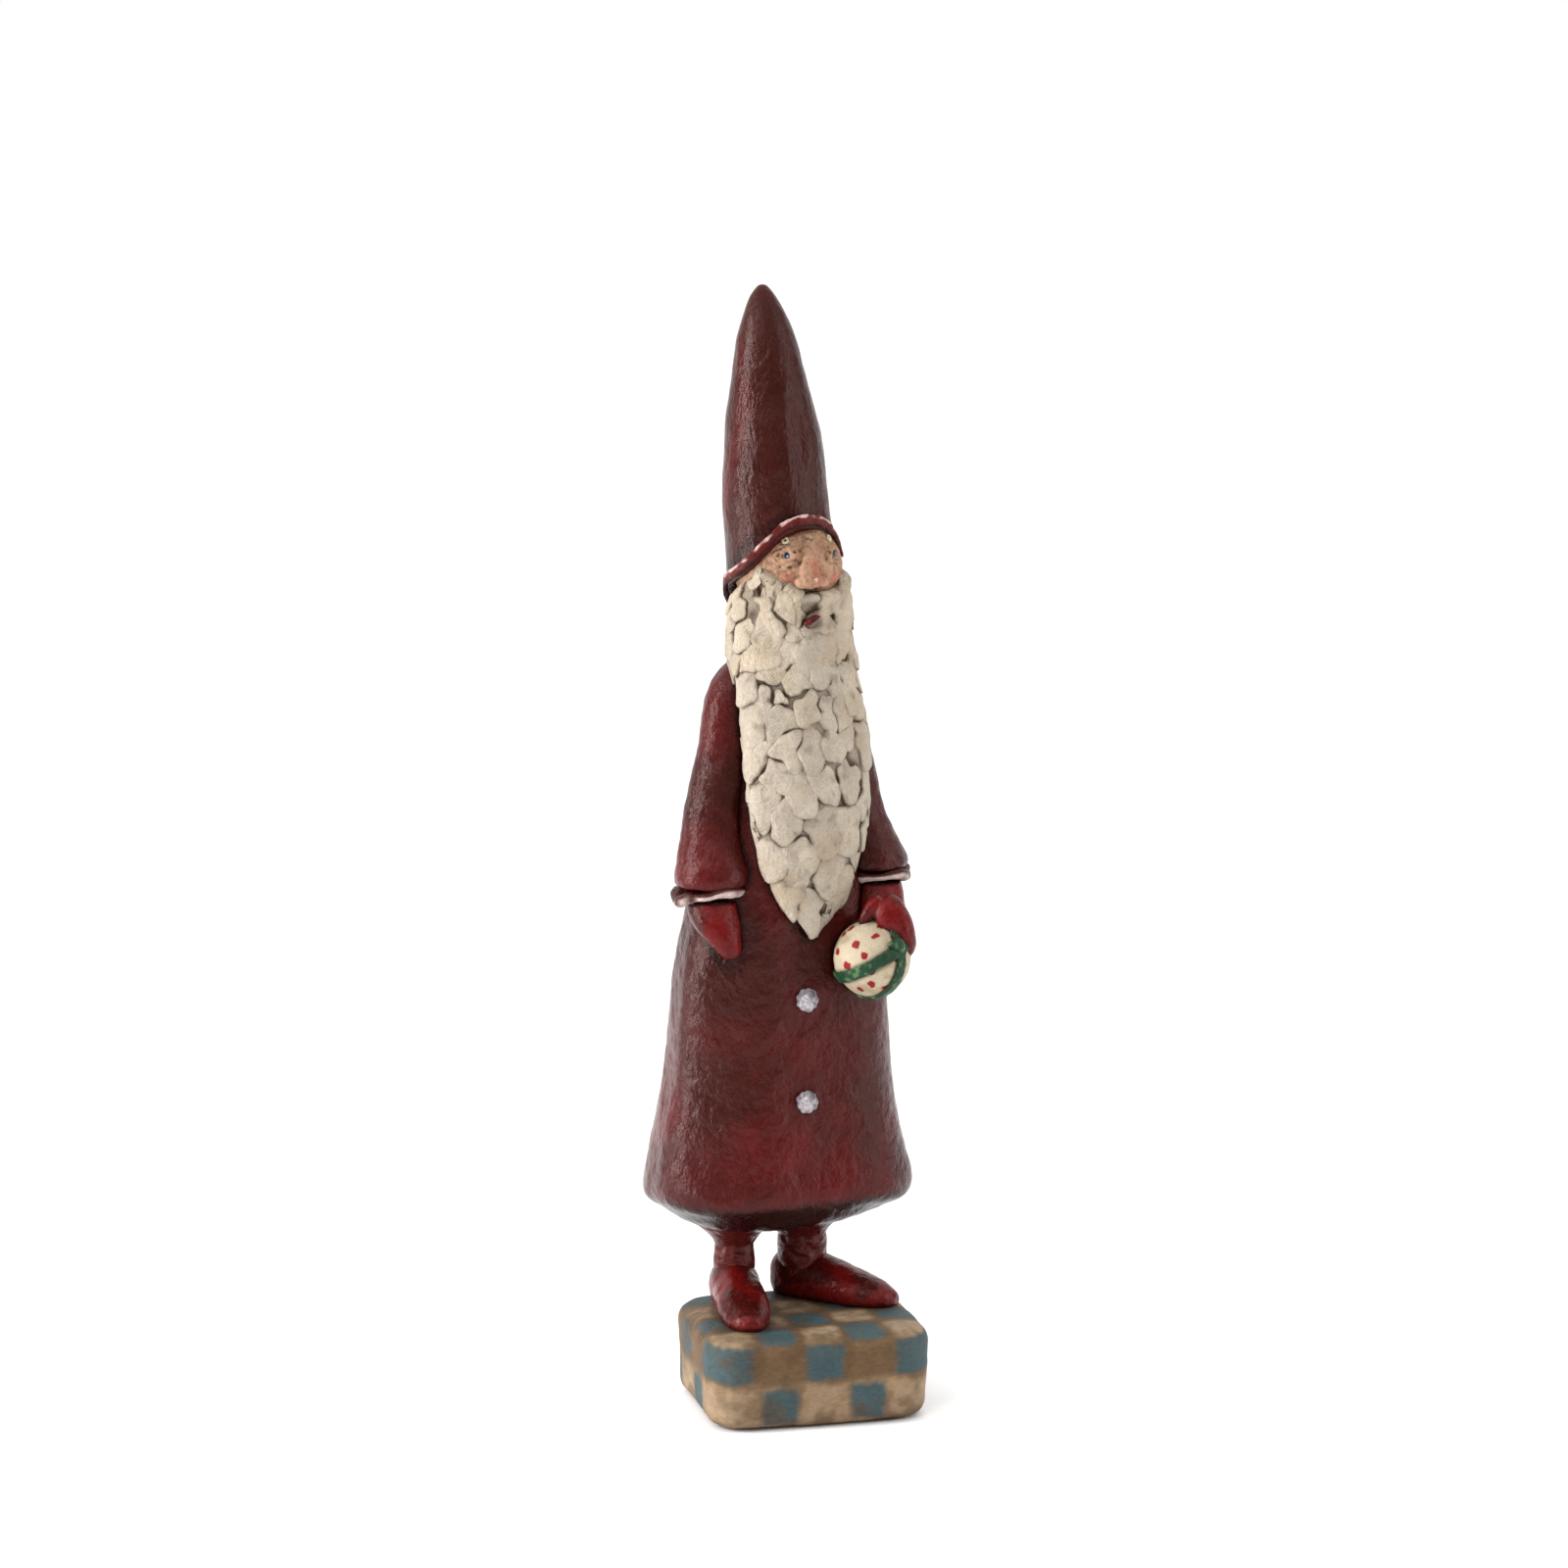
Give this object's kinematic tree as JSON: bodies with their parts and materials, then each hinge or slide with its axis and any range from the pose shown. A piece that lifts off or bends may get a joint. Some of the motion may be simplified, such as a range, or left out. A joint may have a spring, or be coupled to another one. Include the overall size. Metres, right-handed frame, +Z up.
{
  "type": "garden gnome",
  "caption": "Tall folk-style garden gnome with a cone hat, long flaked beard, long coat, and a ribboned ball in one hand, standing on a chequered block.",
  "frame": {"origin": "centre of the plinth's underside, in the plane that it stands on (the pad's lower face)", "axes": "+Z up along the figure, -Y the way the figure faces, +X towards the figure's own left hand; the plinth is turned 13 degrees clockwise, seen from above"},
  "size_m": [0.061, 0.0528, 0.2475],
  "materials": {
    "red_coat": "satin",
    "red_hat": "satin",
    "red_mitten": "satin",
    "red_boot": "satin",
    "beard_clay": "matte",
    "skin": "matte",
    "lip_paint": "satin",
    "white_paint": "satin",
    "ball_paint": "satin",
    "ribbon_green": "satin",
    "plinth_paint": "matte",
    "felt": "matte",
    "steel": "satin"
  },
  "bodies": {
    "root": {"plinth": "plinth_paint", "plinth_pad": "felt", "coat": "red_coat", "neck_rod": "steel", "head": "skin", "nose": "skin", "lip": "lip_paint", "hat": "red_hat", "hat_brim": "red_hat", "beard": "beard_clay", "parcel_ball": "ball_paint", "parcel_ribbon": "ribbon_green", "parcel_knot": "ribbon_green", "button_upper": "white_paint", "button_lower": "white_paint", "leg_rod_right": "steel", "boot_right": "red_boot", "sock_right": "red_boot", "leg_right": "red_boot", "sleeve_right": "red_coat", "cuff_right": "red_coat", "mitten_right": "red_mitten", "eye_right": "white_paint", "brow_right": "white_paint", "leg_rod_left": "steel", "boot_left": "red_boot", "sock_left": "red_boot", "leg_left": "red_boot", "sleeve_left": "red_coat", "cuff_left": "red_coat", "mitten_left": "red_mitten", "eye_left": "white_paint", "brow_left": "white_paint"}
  },
  "joints": []
}
